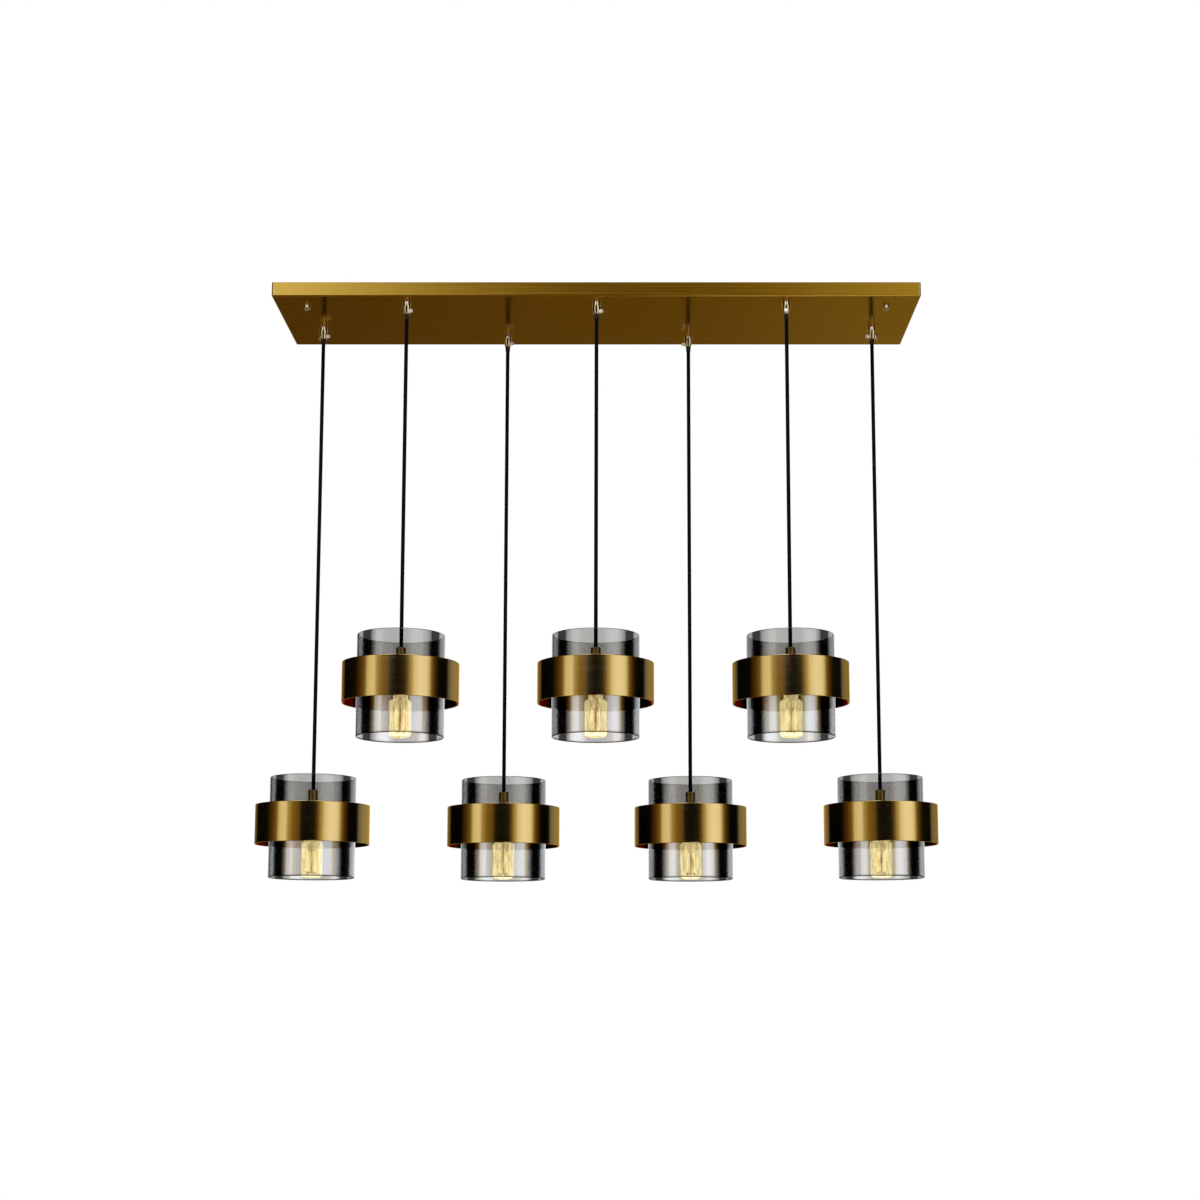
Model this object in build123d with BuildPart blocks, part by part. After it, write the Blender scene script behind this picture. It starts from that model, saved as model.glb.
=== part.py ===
"""Linear ceiling light: a brushed brass canopy with seven glass pendants on black cords.

Millimetres, +Z up. The origin is the middle of the canopy on the ceiling plane. X runs along
the canopy and Y from the front edge to the back. A pendant's own pieces are modelled once, with
their origin at the middle of the glass's lower rim, and are then hung at each cord.
"""

import os
from math import cos, radians, sin, sqrt

from build123d import *

# Canopy
canopy_end_margin = 64.0
canopy_width = 250.0
canopy_height = 25.0
canopy_wall = 1.2
canopy_corner_radius = 3.0
canopy_edge_radius = 2.4

# Ceiling straps, their studs and the cap nuts that hold the canopy up
strap_inset = 53.0
strap_length = 200.0
strap_width = 30.0
strap_thickness = 2.5
ceiling_hole_radius = 2.75
ceiling_hole_spacing = 90.0
stud_radius = 2.5
stud_spacing = 156.0
stud_recess = 0.2
cap_nut_radius = 5.5
cap_nut_height = 8.0
cap_nut_bore_depth = 5.5
cap_nut_round = 4.4

# Pattern of the pendants
pendant_count = 7
pendant_pitch = 162.0
front_row_y = -94.0
back_row_y = 76.0
end_row_y = 34.0
upper_drop = 577.0
lower_drop = 802.0

# Cord and the grips that hold it at the canopy
cord_radius = 3.25
grip_length = 21.0
grip_base_radius = 7.0
grip_mouth_radius = 5.0
grip_mouth_round = 0.6
grip_thread_radius = 5.0
locknut_across_flats = 14.0
locknut_thickness = 3.5
thread_end = 0.5
set_screw_height = 4.5
set_screw_radius = 1.5
set_screw_head_radius = 3.0
set_screw_head_length = 6.0
set_screw_grooves = 16
set_screw_groove_radius = 0.35
set_screw_angles = (-20, -40, -35, -30, 190, 262, 205)

# Moulded boot where a cord leaves its grip
boot_length = 8.0
boot_tip_radius = 3.2
boot_top_radius = 4.4
boot_end_radius = 3.8
boot_shoulder = 1.2
boot_gap = 0.5
bend_gap = 0.45

# Wiring inside the canopy
block_length = 64.0
block_width = 48.0
block_edge_radius = 2.0
tail_bend_radius = 10.0
tail_entry_depth = 8.0
tail_entry_spacing = 14.0
tail_top_gap = 1.0
block_top_gap = 1.5
clamp_screw_radius = 3.0
clamp_screw_height = 1.0
clamp_screw_inset = 9.0
earth_stud_radius = 2.0
earth_stud_height = 11.0
earth_stud_x = 90.0
earth_nut_radius = 4.0
earth_nut_height = 3.2

# Glass shade
glass_radius = 73.0
glass_wall = 3.0
glass_height = 172.0
glass_rim_radius = 1.2
glass_hole_radius = 3.2

# Brass band round the glass
band_radius = 97.0
band_wall = 1.2
band_height = 67.0
band_bottom = 57.0
band_edge_radius = 0.4
boss_radius = 5.0
boss_bore_depth = 14.0
boss_gap = 0.4

# Spider that carries the glass and the band from the lampholder
arm_count = 3
first_arm_angle = 90.0
arm_width = 14.0
spider_thickness = 2.0
spider_depth = 8.0
hub_radius = 20.0
tab_height = 18.0
tab_gap = 0.3
band_screw_radius = 2.0
band_screw_head_radius = 3.6
band_screw_head_height = 2.4
band_screw_grip = 10.0
screw_hole_clearance = 0.2

# Lampholder
cup_radius = 18.0
cup_wall = 0.8
cup_height = 41.0
cup_edge_radius = 2.5
holder_recess = 0.5
holder_top_gap = 6.0
shell_thickness = 0.4
contact_radius = 4.0
contact_thickness = 0.5
nipple_radius = 5.0
nipple_nut_across_flats = 14.0
nipple_nut_thickness = 3.0
relief_radius = 8.5
relief_height = 35.0
relief_edge_radius = 1.5
cord_entry_depth = 14.0

# Tubular bulb with a screw cap
bulb_bottom = 0.5
bulb_radius = 19.0
bulb_body_height = 60.0
bulb_base_round = 7.0
bulb_shoulder_round = 6.0
bulb_shoulder_rise = 4.0
bulb_neck_rise = 11.0
bulb_glass = 0.9
cap_radius = 12.7
cap_thread_rise = 0.5
cap_thread_pitch = 3.6
cap_thread_turns = 6
cap_length = 25.0
cap_wall = 0.4
cap_overlap = 5.0
cap_shoulder_radius = 9.0
cap_tip_height = 2.5
cap_tip_radius = 5.0
stem_length = 14.0
stem_rod_radius = 2.0
filament_count = 4
filament_circle_radius = 8.5
filament_radius = 0.9
filament_length = 38.0
filament_foot = 9.0
filament_wire_radius = 0.45

# Fits
running_gap = 0.3
slide_in_gap = 0.1
thread_gap = 0.05


def hex_radius(across_flats):
    """Corner radius of a hexagon from its width across flats."""
    return across_flats / 2 / cos(radians(30))


def hang_point(index):
    """Place of one cord on the canopy, and how far its glass hangs below the canopy."""
    x = pendant_pitch * (index - (pendant_count - 1) / 2)
    if index % 2:
        return x, front_row_y, upper_drop
    is_end = index in (0, pendant_count - 1)
    return x, end_row_y if is_end else back_row_y, lower_drop


def radial_plane(x, y, z, angle):
    """Plane at a point on a vertical axis, with its normal pointing out at the given angle."""
    return Plane(origin=(x, y, z), z_dir=(cos(radians(angle)), sin(radians(angle)), 0))


def save(part, name):
    """Label one finished piece and write it."""
    part.label = name
    export_step(part, f"parts/{name}.step")


os.makedirs("parts", exist_ok=True)

stand_on = (Align.CENTER, Align.CENTER, Align.MIN)
hang_under = (Align.CENTER, Align.CENTER, Align.MAX)
hang_points = [hang_point(index) for index in range(pendant_count)]
canopy_length = (pendant_count - 1) * pendant_pitch + 2 * canopy_end_margin
canopy_floor = canopy_wall - canopy_height
strap_x = canopy_length / 2 - strap_inset
stud_places = [(sx * strap_x, sy * stud_spacing / 2) for sx in (-1, 1) for sy in (-1, 1)]
ceiling_holes = [(sx * strap_x, sy * ceiling_hole_spacing / 2) for sx in (-1, 1) for sy in (-1, 1)]
grip_bore_radius = cord_radius + slide_in_gap
grip_mouth_z = -canopy_height - grip_length
stub_top = canopy_floor + locknut_thickness + thread_end
boot_top = grip_mouth_z - boot_gap
boot_end = boot_top - boot_length
cord_top = boot_end - bend_gap

# Canopy pan: a tray folded from sheet, open to the ceiling
with BuildPart() as canopy_pan:
    with BuildSketch(Plane.XY.offset(-canopy_height)):
        RectangleRounded(canopy_length, canopy_width, canopy_corner_radius)
    extrude(amount=canopy_height)
    fillet(canopy_pan.faces().sort_by(Axis.Z)[0].edges(), canopy_edge_radius)
    with BuildSketch(Plane.XY.offset(canopy_floor)):
        RectangleRounded(
            canopy_length - 2 * canopy_wall,
            canopy_width - 2 * canopy_wall,
            canopy_corner_radius - canopy_wall,
        )
    extrude(amount=canopy_height, mode=Mode.SUBTRACT)
    inner_floor = canopy_pan.faces().filter_by(Axis.Z).sort_by(Axis.Z)[1]
    fillet(inner_floor.edges(), canopy_edge_radius - canopy_wall)
    with Locations(*[(x, y) for x, y, drop in hang_points]):
        Hole(grip_thread_radius + slide_in_gap)
    with Locations(*stud_places):
        Hole(stud_radius + slide_in_gap)
save(canopy_pan.part, "canopy_pan")

# Ceiling straps: two flat bars under the ceiling, one at each end
with BuildPart() as ceiling_straps:
    with BuildSketch(Plane.XY.offset(-strap_thickness)):
        with Locations((-strap_x, 0), (strap_x, 0)):
            SlotOverall(strap_length, strap_width, rotation=90)
    extrude(amount=strap_thickness)
    with Locations(*stud_places):
        Hole(stud_radius + thread_gap)
    with Locations(*ceiling_holes):
        Hole(ceiling_hole_radius)
save(ceiling_straps.part, "ceiling_straps")

# Studs: threaded rods from the straps down through the pan
stud_end = -canopy_height - cap_nut_bore_depth + running_gap
with BuildPart() as strap_studs:
    with BuildSketch(Plane.XY.offset(-stud_recess)):
        with Locations(*stud_places):
            Circle(stud_radius)
    extrude(amount=stud_end + stud_recess)
save(strap_studs.part, "strap_studs")

# Cap nuts: domed nuts under the pan
with BuildPart() as cap_nuts:
    with BuildSketch(Plane.XY.offset(-canopy_height)):
        with Locations(*stud_places):
            Circle(cap_nut_radius)
    extrude(amount=-cap_nut_height)
    fillet(cap_nuts.edges().group_by(Axis.Z)[0], cap_nut_round)
    with BuildSketch(Plane.XY.offset(-canopy_height)):
        with Locations(*stud_places):
            Circle(stud_radius + thread_gap)
    extrude(amount=-cap_nut_bore_depth, mode=Mode.SUBTRACT)
save(cap_nuts.part, "cap_nuts")

# Cord grips: tapered sleeves with a threaded stub that passes up through the pan
with BuildPart() as cord_grips:
    with Locations(*[(x, y, -canopy_height) for x, y, drop in hang_points]):
        Cone(
            bottom_radius=grip_mouth_radius,
            top_radius=grip_base_radius,
            height=grip_length,
            align=hang_under,
        )
    fillet(cord_grips.edges().group_by(Axis.Z)[0], grip_mouth_round)
    with BuildSketch(Plane.XY.offset(-canopy_height)):
        with Locations(*[(x, y) for x, y, drop in hang_points]):
            Circle(grip_thread_radius)
    extrude(amount=stub_top + canopy_height)
    with Locations(*[(x, y) for x, y, drop in hang_points]):
        Hole(grip_bore_radius)
    for (x, y, drop), angle in zip(hang_points, set_screw_angles):
        with BuildSketch(radial_plane(x, y, grip_mouth_z + set_screw_height, angle)):
            Circle(set_screw_radius + thread_gap)
        extrude(amount=grip_base_radius, mode=Mode.SUBTRACT)
save(cord_grips.part, "cord_grips")

# Locknuts: hexagon nuts on the stubs, inside the pan
with BuildPart() as grip_locknuts:
    with BuildSketch(Plane.XY.offset(canopy_floor)):
        with Locations(*[(x, y) for x, y, drop in hang_points]):
            RegularPolygon(hex_radius(locknut_across_flats), 6)
            Circle(grip_thread_radius + thread_gap, mode=Mode.SUBTRACT)
    extrude(amount=locknut_thickness)
save(grip_locknuts.part, "grip_locknuts")

# Set screws: knurled thumb screws that clamp the cords in the grips
grip_taper = (grip_base_radius - grip_mouth_radius) / grip_length
screw_face = grip_mouth_radius + grip_taper * (set_screw_height + set_screw_head_radius) + running_gap
with BuildPart() as grip_set_screws:
    for (x, y, drop), angle in zip(hang_points, set_screw_angles):
        axis_plane = radial_plane(x, y, grip_mouth_z + set_screw_height, angle)
        with BuildSketch(axis_plane.offset(cord_radius + slide_in_gap)):
            Circle(set_screw_radius)
        extrude(amount=screw_face - cord_radius)
        with BuildSketch(axis_plane.offset(screw_face)):
            Circle(set_screw_head_radius)
            with PolarLocations(set_screw_head_radius, set_screw_grooves):
                Circle(set_screw_groove_radius, mode=Mode.SUBTRACT)
        extrude(amount=set_screw_head_length)
save(grip_set_screws.part, "grip_set_screws")

# Terminal block and the cord tails that run to it inside the pan
tail_z = -strap_thickness - tail_top_gap - cord_radius
block_top = tail_z + cord_radius + block_top_gap
side_entries = (0, -1, 1)


def tail_entry(index):
    """Point inside the terminal block where one cord tail ends."""
    middle = (pendant_count - 1) // 2
    x = hang_points[index][0]
    if index == middle:
        return 0.0, tail_entry_depth - block_width / 2
    side = 1 if x > 0 else -1
    order = min(index, pendant_count - 1 - index)
    return side * (block_length / 2 - tail_entry_depth), side_entries[order] * tail_entry_spacing


with BuildPart() as cord_tails:
    for index, (x, y, drop) in enumerate(hang_points):
        end_x, end_y = tail_entry(index)
        with BuildLine():
            FilletPolyline(
                (x, y, grip_mouth_z + bend_gap),
                (x, y, tail_z),
                (end_x, end_y, tail_z),
                radius=tail_bend_radius,
            )
        with BuildSketch(Plane(origin=(x, y, grip_mouth_z + bend_gap))):
            Circle(cord_radius)
        sweep()
save(cord_tails.part, "cord_tails")

with BuildPart() as terminal_block:
    with BuildSketch(Plane.XY.offset(canopy_floor)):
        RectangleRounded(block_length, block_width, block_edge_radius)
    extrude(amount=block_top - canopy_floor)
    for index, (x, y, drop) in enumerate(hang_points):
        end_x, end_y = tail_entry(index)
        run = Vector(x - end_x, y - end_y, 0).normalized()
        with BuildSketch(Plane(origin=Vector(end_x, end_y, tail_z) - run * slide_in_gap, z_dir=run)):
            Circle(cord_radius + slide_in_gap)
        extrude(amount=block_length, mode=Mode.SUBTRACT)
save(terminal_block.part, "terminal_block")

# Clamp screws on the terminal block, one over each conductor pair
clamp_x = block_length / 2 - clamp_screw_inset
clamp_places = [(sx * clamp_x, row * tail_entry_spacing) for sx in (-1, 1) for row in side_entries]
with BuildPart() as terminal_screws:
    with BuildSketch(Plane.XY.offset(block_top)):
        with Locations(*clamp_places):
            Circle(clamp_screw_radius)
    extrude(amount=clamp_screw_height)
save(terminal_screws.part, "terminal_screws")

# Earth stud with its nut, on the floor of the pan
with BuildPart() as earth_stud:
    with BuildSketch(Plane.XY.offset(canopy_floor)):
        with Locations((earth_stud_x, 0)):
            Circle(earth_stud_radius)
    extrude(amount=earth_stud_height)
    with BuildSketch(Plane.XY.offset(canopy_floor)):
        with Locations((earth_stud_x, 0)):
            RegularPolygon(earth_nut_radius, 6)
    extrude(amount=earth_nut_height)
save(earth_stud.part, "earth_stud")

# Moulded boot: the short stiff sleeve on a cord just below its grip
with BuildPart() as cord_boot:
    with BuildSketch(Plane.XZ):
        with BuildLine():
            Polyline(
                (0, boot_top),
                (boot_tip_radius, boot_top),
                (boot_top_radius, boot_top - boot_shoulder),
                (boot_end_radius, boot_end),
                (0, boot_end),
                close=True,
            )
        make_face()
    revolve(axis=Axis.Z)

# Glass shade: one open tube with rounded rims and three holes behind the band
arm_angles = [first_arm_angle + 360 / arm_count * turn for turn in range(arm_count)]
glass_bore = glass_radius - glass_wall
spider_top = band_bottom + band_height - spider_depth
spider_bottom = spider_top - spider_thickness
screw_z = spider_top - tab_height / 2 - spider_thickness / 2
with BuildPart() as smoke_glass:
    with BuildSketch():
        Circle(glass_radius)
        Circle(glass_bore, mode=Mode.SUBTRACT)
    extrude(amount=glass_height)
    fillet(smoke_glass.edges().filter_by(GeomType.CIRCLE), glass_rim_radius)
    for angle in arm_angles:
        with BuildSketch(radial_plane(0, 0, screw_z, angle)):
            Circle(glass_hole_radius)
        extrude(amount=glass_radius + glass_wall, mode=Mode.SUBTRACT)

# Brass band: a rolled ring with three bosses brazed to its inside
band_bore = band_radius - band_wall
boss_tip = glass_radius + boss_gap
with BuildPart() as brass_band:
    with BuildSketch(Plane.XY.offset(band_bottom)):
        Circle(band_radius)
        Circle(band_bore, mode=Mode.SUBTRACT)
    extrude(amount=band_height)
    fillet(brass_band.edges().filter_by(GeomType.CIRCLE), band_edge_radius)
    for angle in arm_angles:
        with BuildSketch(radial_plane(0, 0, screw_z, angle).offset(boss_tip)):
            Circle(boss_radius)
        extrude(amount=band_bore + band_wall / 2 - boss_tip)
        with BuildSketch(radial_plane(0, 0, screw_z, angle).offset(boss_tip)):
            Circle(band_screw_radius + thread_gap)
        extrude(amount=boss_bore_depth, mode=Mode.SUBTRACT)

# Spider: a hub plate with three arms whose ends turn down against the glass, and its screws
tab_face = sqrt((glass_bore - tab_gap) ** 2 - (arm_width / 2) ** 2)
head_face = tab_face - spider_thickness - thread_gap
with BuildPart() as spider:
    with BuildSketch(Plane.XY.offset(spider_bottom)):
        Circle(hub_radius)
        for angle in arm_angles:
            with Locations(Location((0, 0, 0), angle)):
                Rectangle(tab_face, arm_width, align=(Align.MIN, Align.CENTER))
        Circle(nipple_radius + slide_in_gap, mode=Mode.SUBTRACT)
    extrude(amount=spider_thickness)
    for angle in arm_angles:
        tab_plane = radial_plane(0, 0, spider_top, angle).offset(tab_face - spider_thickness)
        with BuildSketch(Plane(tab_plane.origin, x_dir=(0, 0, -1), z_dir=tab_plane.z_dir)):
            Rectangle(tab_height, arm_width, align=(Align.MIN, Align.CENTER))
        extrude(amount=spider_thickness)
        with BuildSketch(radial_plane(0, 0, screw_z, angle).offset(head_face - band_screw_head_height)):
            Circle(band_screw_radius + screw_hole_clearance)
        extrude(amount=glass_radius, mode=Mode.SUBTRACT)
    for angle in arm_angles:
        head_plane = radial_plane(0, 0, screw_z, angle).offset(head_face)
        with BuildSketch(head_plane):
            Circle(band_screw_head_radius)
        extrude(amount=-band_screw_head_height)
        with BuildSketch(head_plane):
            Circle(band_screw_radius)
        extrude(amount=boss_tip + band_screw_grip - head_face)

# Lampholder: cup, insulating body, screw shell, centre contact, nipple nut and strain relief
cup_bottom = spider_bottom - cup_height
cup_bore = cup_radius - cup_wall
holder_radius = cup_bore - slide_in_gap
holder_bottom = cup_bottom + holder_recess
holder_top = spider_bottom - cup_wall - holder_top_gap
shell_radius = cap_radius + cap_thread_rise + running_gap
holder_bore = shell_radius + shell_thickness + slide_in_gap
bulb_top = bulb_bottom + bulb_body_height + bulb_neck_rise + cap_length + cap_tip_height
contact_z = bulb_top + running_gap
holder_pocket_top = contact_z + contact_thickness + slide_in_gap
relief_top = spider_top + relief_height
with BuildPart() as lampholder:
    with BuildSketch(Plane.XY.offset(cup_bottom)):
        Circle(cup_radius)
    extrude(amount=cup_height)
    fillet(lampholder.edges().group_by(Axis.Z)[-1], cup_edge_radius)
    with BuildSketch(Plane.XY.offset(cup_bottom)):
        Circle(cup_bore)
    extrude(amount=cup_height - cup_wall, mode=Mode.SUBTRACT)
    with BuildSketch(Plane.XY.offset(cup_bottom)):
        Circle(nipple_radius + slide_in_gap)
    extrude(amount=cup_height, mode=Mode.SUBTRACT)
    with BuildSketch(Plane.XY.offset(holder_bottom)):
        Circle(holder_radius)
    extrude(amount=holder_top - holder_bottom)
    with BuildSketch(Plane.XY.offset(holder_bottom)):
        Circle(holder_bore)
    extrude(amount=holder_pocket_top - holder_bottom, mode=Mode.SUBTRACT)
    with BuildSketch(Plane.XY.offset(holder_bottom + holder_recess)):
        Circle(shell_radius + shell_thickness)
        Circle(shell_radius, mode=Mode.SUBTRACT)
    extrude(amount=contact_z - holder_bottom - holder_recess)
    with BuildSketch(Plane.XY.offset(contact_z)):
        Circle(contact_radius)
    extrude(amount=contact_thickness)
    with BuildSketch(Plane.XY.offset(spider_bottom - cup_wall - thread_gap)):
        RegularPolygon(hex_radius(nipple_nut_across_flats), 6)
        Circle(nipple_radius + thread_gap, mode=Mode.SUBTRACT)
    extrude(amount=-nipple_nut_thickness)
    with BuildSketch(Plane.XY.offset(spider_top)):
        Circle(relief_radius)
    extrude(amount=relief_height)
    fillet(lampholder.edges().group_by(Axis.Z)[-1], relief_edge_radius)
    with BuildSketch(Plane.XY.offset(spider_top)):
        Circle(nipple_radius)
    extrude(amount=-spider_thickness - cup_wall - nipple_nut_thickness)
    with BuildSketch(Plane.XY.offset(relief_top)):
        Circle(cord_radius + running_gap)
    extrude(amount=holder_top - relief_top, mode=Mode.SUBTRACT)

# Bulb: a clear tubular envelope, a screw cap and the stem that holds the filaments
neck_radius = cap_radius - cap_wall - slide_in_gap
shoulder_z = bulb_bottom + bulb_body_height
neck_z = shoulder_z + bulb_neck_rise
cap_thread_start = neck_z + cap_overlap
stem_flare_radius = neck_radius - bulb_glass - slide_in_gap
filament_low = bulb_bottom + filament_foot
filament_high = filament_low + filament_length
with BuildPart() as bulb:
    with BuildSketch(Plane.XZ) as envelope_profile:
        with BuildLine():
            Polyline(
                (0, bulb_bottom),
                (bulb_radius, bulb_bottom),
                (bulb_radius, shoulder_z),
                (neck_radius, shoulder_z + bulb_shoulder_rise),
                (neck_radius, neck_z + cap_overlap),
                (0, neck_z + cap_overlap),
                close=True,
            )
        make_face()
        corners = envelope_profile.vertices().group_by(Axis.X)
        fillet(corners[-1].sort_by(Axis.Y)[0], bulb_base_round)
        fillet(corners[-1].sort_by(Axis.Y)[-1], bulb_shoulder_round)
    revolve(axis=Axis.Z)
    offset(amount=-bulb_glass, openings=bulb.faces().sort_by(Axis.Z)[-1])
    with BuildSketch(Plane.XY.offset(neck_z)):
        Circle(cap_radius)
        Circle(cap_radius - cap_wall, mode=Mode.SUBTRACT)
    extrude(amount=cap_overlap + slide_in_gap)
    with BuildSketch(Plane.XY.offset(neck_z + cap_overlap + slide_in_gap)):
        Circle(cap_radius)
    extrude(amount=cap_length - cap_overlap - slide_in_gap)
    for turn in range(cap_thread_turns):
        with Locations((0, 0, cap_thread_start + cap_thread_pitch * turn)):
            Torus(cap_radius, cap_thread_rise)
    with Locations((0, 0, neck_z + cap_length)):
        Cone(cap_shoulder_radius, cap_tip_radius, cap_tip_height, align=stand_on)
    with Locations((0, 0, neck_z)):
        Cone(stem_rod_radius, stem_flare_radius, stem_length, align=hang_under)
    with BuildSketch(Plane.XY.offset(neck_z - stem_length)):
        Circle(stem_rod_radius)
    extrude(amount=filament_high - neck_z + stem_length)
    with BuildSketch(Plane.XY.offset(filament_low)):
        with PolarLocations(filament_circle_radius, filament_count):
            Circle(filament_radius)
    extrude(amount=filament_length)
    for turn in range(filament_count):
        with BuildSketch(radial_plane(0, 0, filament_high, 360 / filament_count * turn)):
            Circle(filament_wire_radius)
        extrude(amount=filament_circle_radius)
    with Locations((0, 0, filament_low)):
        Torus(filament_circle_radius, filament_wire_radius)

# Hang each pendant's pieces from its cord
relief_seat = relief_top - cord_entry_depth
shade_pieces = {
    "brass_band": brass_band,
    "smoke_glass": smoke_glass,
    "spider": spider,
    "lampholder": lampholder,
    "bulb": bulb,
}
for number, (x, y, drop) in enumerate(hang_points, start=1):
    rim_z = -canopy_height - drop - glass_height
    with BuildPart() as cord:
        with BuildSketch(Plane((x, y, rim_z + relief_seat))):
            Circle(cord_radius)
        extrude(amount=cord_top - rim_z - relief_seat)
    save(cord.part, f"cord_{number}")
    save(cord_boot.part.moved(Location((x, y, 0))), f"cord_boot_{number}")
    for name, piece in shade_pieces.items():
        save(piece.part.moved(Location((x, y, rim_z))), f"{name}_{number}")
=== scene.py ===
"""Dress a seven pendant ceiling light: brushed brass, smoke glass, glowing bulbs and black cords."""

import math

import bmesh
import bpy
import numpy as np
from bpy.props import FloatProperty, FloatVectorProperty, IntProperty, PointerProperty
from mathutils import Matrix, Vector


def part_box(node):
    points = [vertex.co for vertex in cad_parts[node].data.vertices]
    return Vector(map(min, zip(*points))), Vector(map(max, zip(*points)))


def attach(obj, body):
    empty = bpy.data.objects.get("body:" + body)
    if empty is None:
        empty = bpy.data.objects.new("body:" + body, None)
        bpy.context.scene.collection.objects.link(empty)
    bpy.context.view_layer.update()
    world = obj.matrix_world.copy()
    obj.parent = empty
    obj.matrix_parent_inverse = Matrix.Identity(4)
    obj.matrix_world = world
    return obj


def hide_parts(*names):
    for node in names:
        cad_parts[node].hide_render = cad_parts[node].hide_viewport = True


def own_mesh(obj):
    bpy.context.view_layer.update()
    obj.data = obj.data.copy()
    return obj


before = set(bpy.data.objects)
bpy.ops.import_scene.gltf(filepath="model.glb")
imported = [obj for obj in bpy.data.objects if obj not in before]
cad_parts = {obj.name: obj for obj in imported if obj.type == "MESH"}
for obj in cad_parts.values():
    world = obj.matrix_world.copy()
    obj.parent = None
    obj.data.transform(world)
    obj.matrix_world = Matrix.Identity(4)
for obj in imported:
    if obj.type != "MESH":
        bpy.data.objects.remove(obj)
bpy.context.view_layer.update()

bl_info = {
    "name": "Seven pendant ceiling light",
    "version": (1, 0, 0),
    "blender": (4, 5, 0),
    "location": "View3D > Sidebar > Ceiling light",
    "description": "Builds the looks of a brass ceiling light with seven smoke glass pendants",
    "category": "Object",
}

PENDANTS = sorted(int(node.rsplit("_", 1)[1]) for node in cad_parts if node.startswith("smoke_glass_"))
MM = 0.001
NOISE_LOW, NOISE_HIGH = 0.3, 0.7


# Reading the frame


def width_of(node):
    """Width of a node's box along X."""
    low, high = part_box(node)
    return high.x - low.x


def height_of(node):
    """Height of a node's box."""
    low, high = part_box(node)
    return high.z - low.z


def rise_of(node, pendant=1):
    """Height of a node's underside above the lower rim of its glass."""
    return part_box(f"{node}_{pendant}")[0].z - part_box(f"smoke_glass_{pendant}")[0].z


def hang_place(pendant):
    """The point on a pendant's axis at the lower rim of its glass."""
    low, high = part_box(f"smoke_glass_{pendant}")
    return Vector(((low.x + high.x) / 2, (low.y + high.y) / 2, low.z))


# Shapes


def arc(centre, radius, start, end, count=7):
    """Points of a circle's arc in a profile: centre plus radius times (cosine, sine), angles in degrees."""
    angle = np.radians(np.linspace(start, end, count))
    return np.stack([centre[0] + radius * np.cos(angle), centre[1] + radius * np.sin(angle)], axis=1)


def grid(rows, columns, close_rows):
    """Faces of a grid that wraps round its columns, with each corner's own row and column."""
    row, column = np.meshgrid(np.arange(rows if close_rows else rows - 1), np.arange(columns), indexing="ij")
    corner_rows = np.stack([row, row, row + 1, row + 1], axis=-1).reshape(-1, 4)
    corner_columns = np.stack([column, column + 1, column + 1, column], axis=-1).reshape(-1, 4)
    faces = corner_rows % rows * columns + corner_columns % columns
    return faces, corner_rows, corner_columns


def wrapped(points, along, close_rows=False):
    """A part from rows of points round an axis: each point is joined to its neighbours in row and column.

    The map runs once round in u, and by the distance along in v.
    """
    rows, columns = points.shape[:2]
    faces, corner_rows, corner_columns = grid(rows, columns, close_rows)
    corners = np.stack([corner_columns / columns, along[corner_rows]], axis=-1)
    return points.reshape(-1, 3), faces, corners


def held(profile, near=0.3 * MM):
    """The same profile with a row near both ends of each long stretch, which keeps it straight when shaded.

    The added rows lie on the stretch, at the near distance from its two ends.
    """
    long_stretch = 6 * near
    rows = [profile[:1]]
    for start, end in zip(profile[:-1], profile[1:]):
        length = np.linalg.norm(end - start)
        share = np.array([near / length, 1 - near / length, 1.0] if length > long_stretch else [1.0])
        rows.append(start + share[:, None] * (end - start))
    return np.concatenate(rows)


def turned(profile, steps=64, close_rows=False, swell=None):
    """Carry a profile of (radius, height) round the Z axis.

    A point is (radius * swell * cosine, radius * swell * sine, height), where swell, one row of
    factors for each profile point, raises a thread. With no swell, long stretches are held straight.
    """
    profile = np.asarray(profile, float)
    if close_rows:
        profile = np.concatenate([profile, profile[:1]])
    if swell is None:
        profile = held(profile)
        swell = np.ones((1, steps))
    along = np.concatenate([[0.0], np.cumsum(np.linalg.norm(np.diff(profile, axis=0), axis=1))])
    if close_rows:
        profile = profile[:-1]
    turn = np.linspace(0, 2 * np.pi, steps, endpoint=False)
    radius = profile[:, :1] * swell
    height = np.repeat(profile[:, 1:], steps, axis=1)
    points = np.stack([radius * np.cos(turn), radius * np.sin(turn), height], axis=-1)
    return wrapped(points, along, close_rows)


def tube(line, radius, across, sides=24):
    """Carry a circle along a flat line: each ring is square to the line, and across is square to its plane.

    A point is line + radius * (cosine * across + sine * (across x direction)). The two ends are closed by
    rings of no radius.
    """
    direction = np.gradient(line, axis=0)
    direction /= np.linalg.norm(direction, axis=1, keepdims=True)
    upright = np.cross(across, direction)
    turn = np.linspace(0, 2 * np.pi, sides, endpoint=False)[None, :, None]
    rings = np.cos(turn) * np.asarray(across) + np.sin(turn) * upright[:, None]
    points = line[:, None] + radius * rings
    first = np.repeat(line[None, :1], sides, axis=1)
    last = np.repeat(line[None, -1:], sides, axis=1)
    points = np.concatenate([first, points, last])
    length = np.concatenate([[0.0], np.cumsum(np.linalg.norm(np.diff(line, axis=0), axis=1))])
    along = np.concatenate([[0.0], length, length[-1:]]) / (2 * np.pi * radius)
    return wrapped(points, along)


def placed(part, matrix):
    """The same part, moved and turned by a matrix."""
    points, faces, corners = part
    turn = np.array(matrix.to_3x3())
    return points @ turn.T + np.array(matrix.translation), faces, corners


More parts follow.
